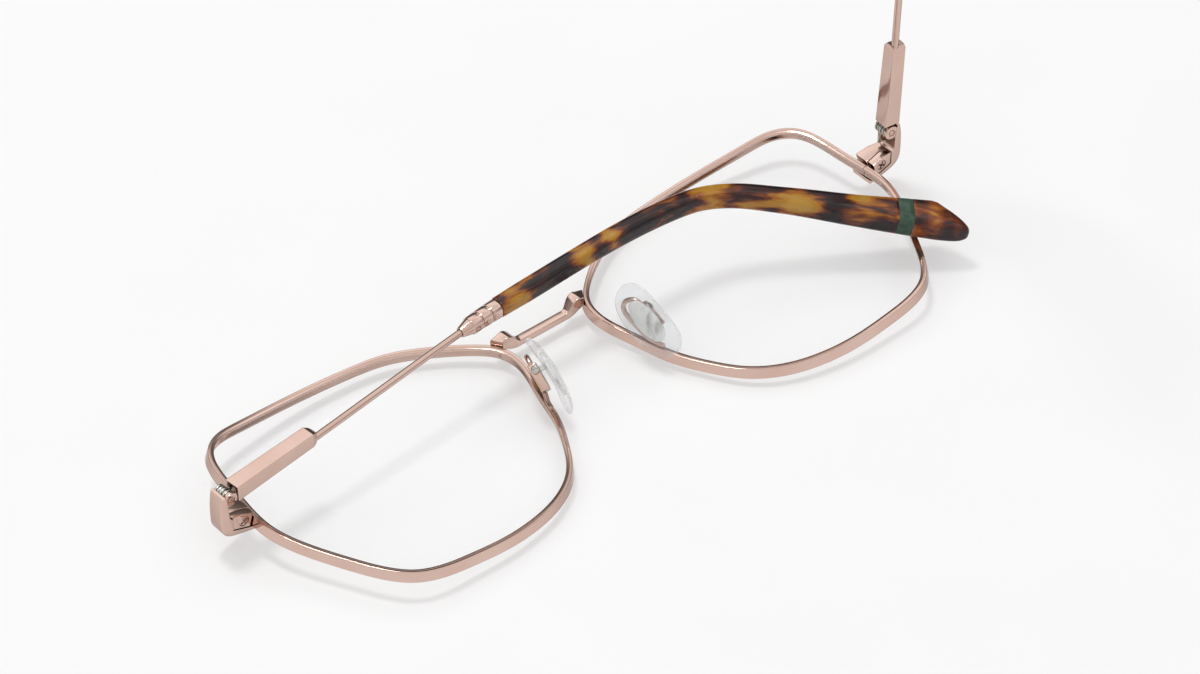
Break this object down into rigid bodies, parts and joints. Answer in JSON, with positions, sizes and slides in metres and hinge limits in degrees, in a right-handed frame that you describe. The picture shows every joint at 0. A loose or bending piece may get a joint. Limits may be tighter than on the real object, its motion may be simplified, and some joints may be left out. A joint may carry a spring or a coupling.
{
  "type": "spectacles",
  "caption": "Metal-rimmed aviator-shaped spectacles with clear lenses, adjustable nose pads, spring hinges and tortoiseshell temple tips.",
  "frame": {"origin": "centre of the flat front face of the bridge bar", "axes": "+X to the wearer's right, +Y up the frame, +Z from the front back towards the wearer; the glasses lie face down at rest"},
  "size_m": [0.1414, 0.053, 0.1423],
  "materials": {
    "rose_gold": "polished rose-gold plating",
    "nickel": "bright nickel silver",
    "spring_steel": "drawn wire",
    "clear_lens": "clear, polished, anti-reflection coated",
    "clear_silicone": "translucent silicone, satin",
    "pad_core": "clear moulded core",
    "tortoise_acetate": "polished tortoiseshell acetate, amber and dark brown",
    "green_acetate": "polished dark green acetate"
  },
  "bodies": {
    "front": {"bridge": "rose_gold", "rim_left": "rose_gold", "lens_left": "clear_lens", "endpiece_left": "rose_gold", "hinge_leaf_left": "nickel", "hinge_screw_left": "rose_gold", "rim_lock_block_left": "rose_gold", "rim_lock_screw_left": "rose_gold", "pad_arm_left": "rose_gold", "pad_box_left": "rose_gold", "pad_screw_left": "nickel", "rim_right": "rose_gold", "lens_right": "clear_lens", "endpiece_right": "rose_gold", "hinge_leaf_right": "nickel", "hinge_screw_right": "rose_gold", "rim_lock_block_right": "rose_gold", "rim_lock_screw_right": "rose_gold", "pad_arm_right": "rose_gold", "pad_box_right": "rose_gold", "pad_screw_right": "nickel"},
    "slider_left": {"hinge_slider_left": "nickel", "hinge_spring_left": "spring_steel", "slider_nut_left": "nickel"},
    "temple_left": {"temple_housing_left": "rose_gold", "temple_wire_left": "rose_gold", "ferrule_left": "rose_gold", "tip_main_left": "tortoise_acetate", "tip_band_left": "green_acetate", "tip_end_left": "tortoise_acetate"},
    "pad_left": {"nose_pad_left": "clear_silicone", "pad_insert_left": "pad_core"},
    "slider_right": {"hinge_slider_right": "nickel", "hinge_spring_right": "spring_steel", "slider_nut_right": "nickel"},
    "temple_right": {"temple_housing_right": "rose_gold", "temple_wire_right": "rose_gold", "ferrule_right": "rose_gold", "tip_main_right": "tortoise_acetate", "tip_band_right": "green_acetate", "tip_end_right": "tortoise_acetate"},
    "pad_right": {"nose_pad_right": "clear_silicone", "pad_insert_right": "pad_core"}
  },
  "joints": [
    {"name": "left_hinge", "type": "hinge", "parent": "front", "child": "slider_left", "pos_m": [-0.06795, -0.0066, 0.00973], "axis": [-0.0889, 0.996, 0], "range_deg": [-94.5, 0]},
    {"name": "left_flex", "type": "slide", "parent": "slider_left", "child": "temple_left", "axis": [0.9942, 0.0887, 0.061], "range_m": [0, 0.0012]},
    {"name": "right_hinge", "type": "hinge", "parent": "front", "child": "slider_right", "pos_m": [0.06795, -0.0066, 0.00973], "axis": [-0.0889, -0.996, 0], "range_deg": [-6, 78]},
    {"name": "right_flex", "type": "slide", "parent": "slider_right", "child": "temple_right", "axis": [0.0348, -0.0031, 0.9994], "range_m": [0, 0.0012]},
    {"name": "left_pad_rock", "type": "hinge", "parent": "front", "child": "pad_left", "pos_m": [-0.01117, -0.0122, 0.00616], "axis": [-0.477, -0.3692, 0.7976], "range_deg": [-5, 5]},
    {"name": "right_pad_rock", "type": "hinge", "parent": "front", "child": "pad_right", "pos_m": [0.01117, -0.0122, 0.00616], "axis": [0.477, -0.3692, 0.7976], "range_deg": [-5, 5]}
  ]
}
